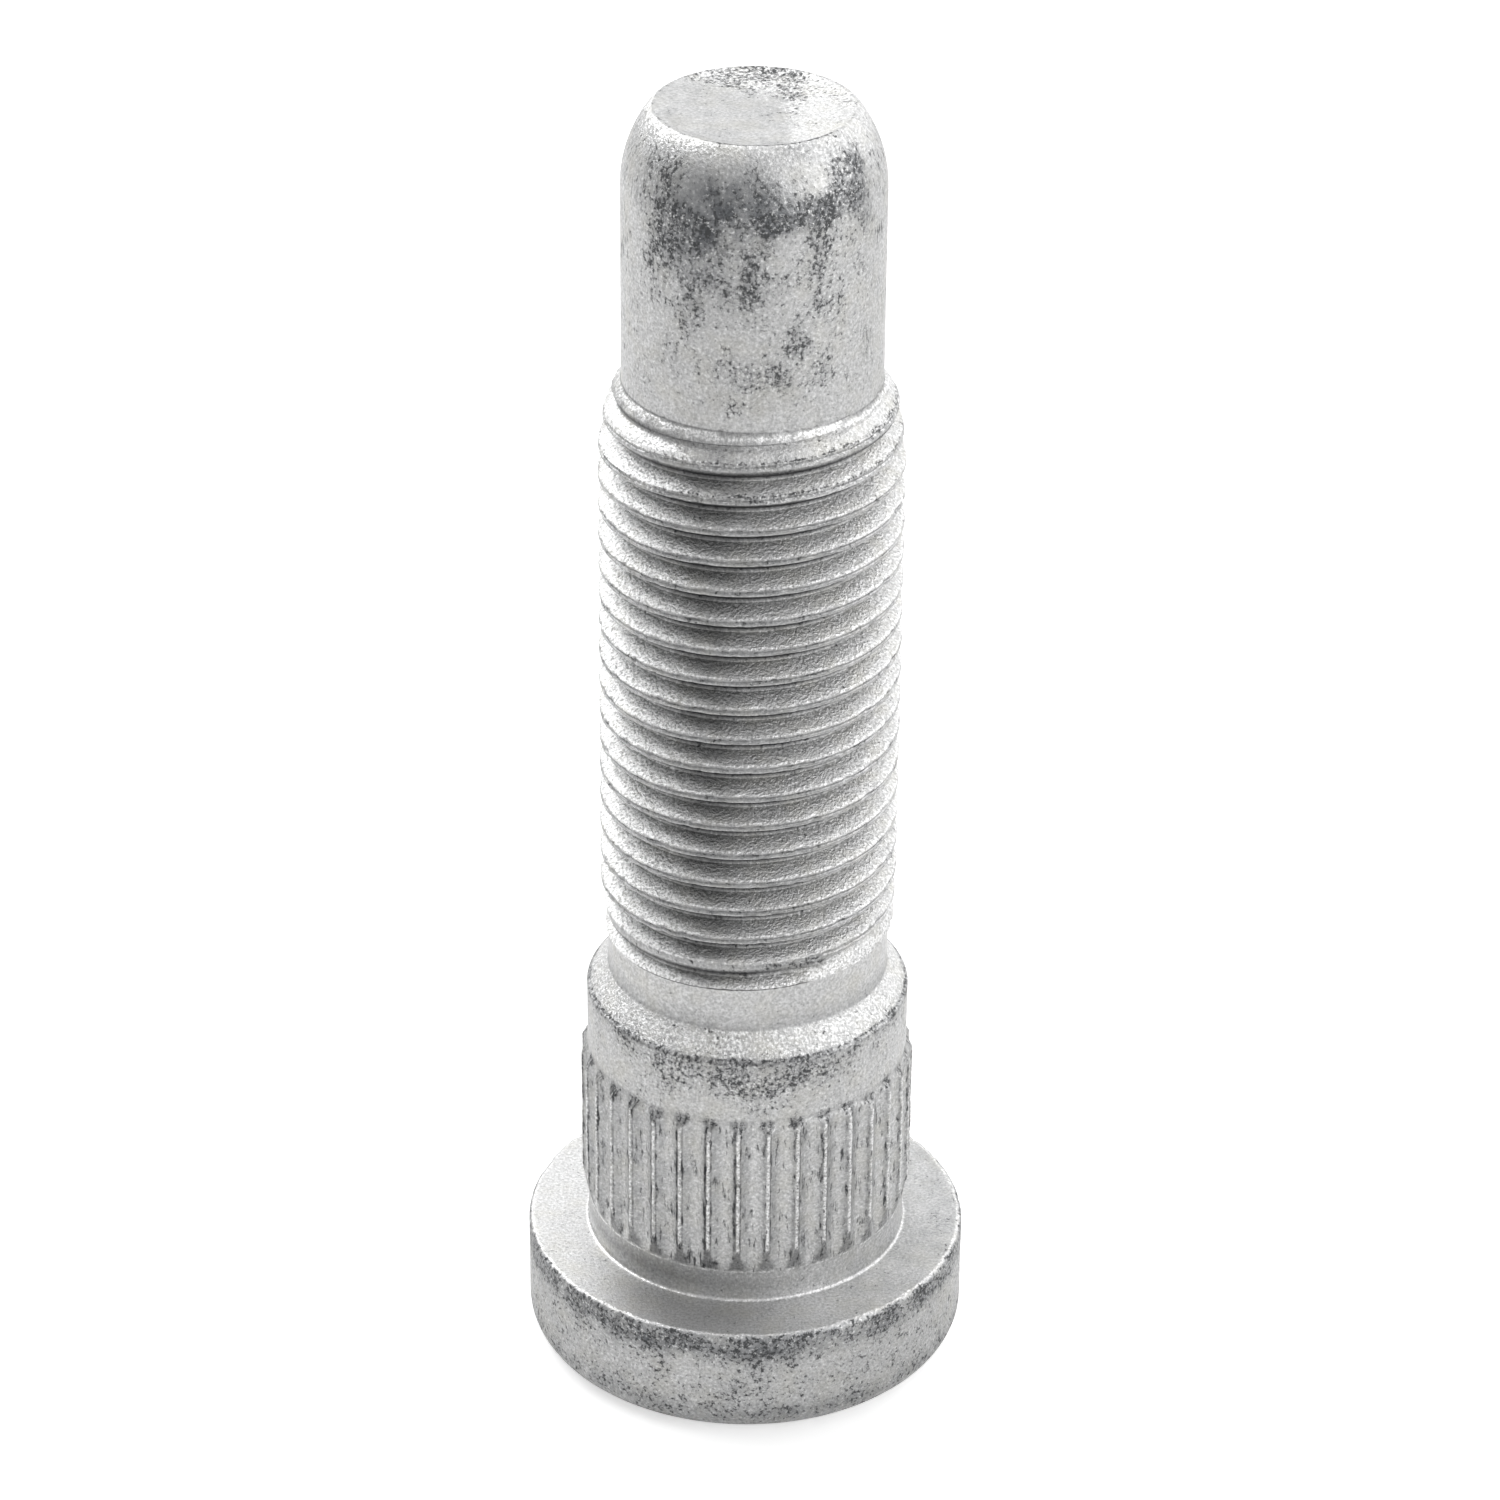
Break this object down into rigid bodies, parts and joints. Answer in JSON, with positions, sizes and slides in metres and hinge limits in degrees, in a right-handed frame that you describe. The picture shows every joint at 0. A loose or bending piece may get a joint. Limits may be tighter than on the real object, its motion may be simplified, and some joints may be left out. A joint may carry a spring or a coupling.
{
  "type": "wheel stud",
  "caption": "Press-in steel wheel stud with a round head, a rolled spline, a metric fine thread and a smooth rounded pilot tip.",
  "frame": {"origin": "middle of the head's flat base, which is what the stud stands on", "axes": "+Z along the stud's axis from the head to the pilot tip; X and Y are free, with one ridge of the spline 2.6 degrees clockwise of -Y as seen from the tip"},
  "size_m": [0.021, 0.021, 0.0637],
  "materials": {
    "zinc_coated_steel": "grainy satin zinc coating over forged and rolled steel, with dark patina specks"
  },
  "bodies": {
    "root": {"wheel_stud": "zinc_coated_steel"}
  },
  "joints": []
}
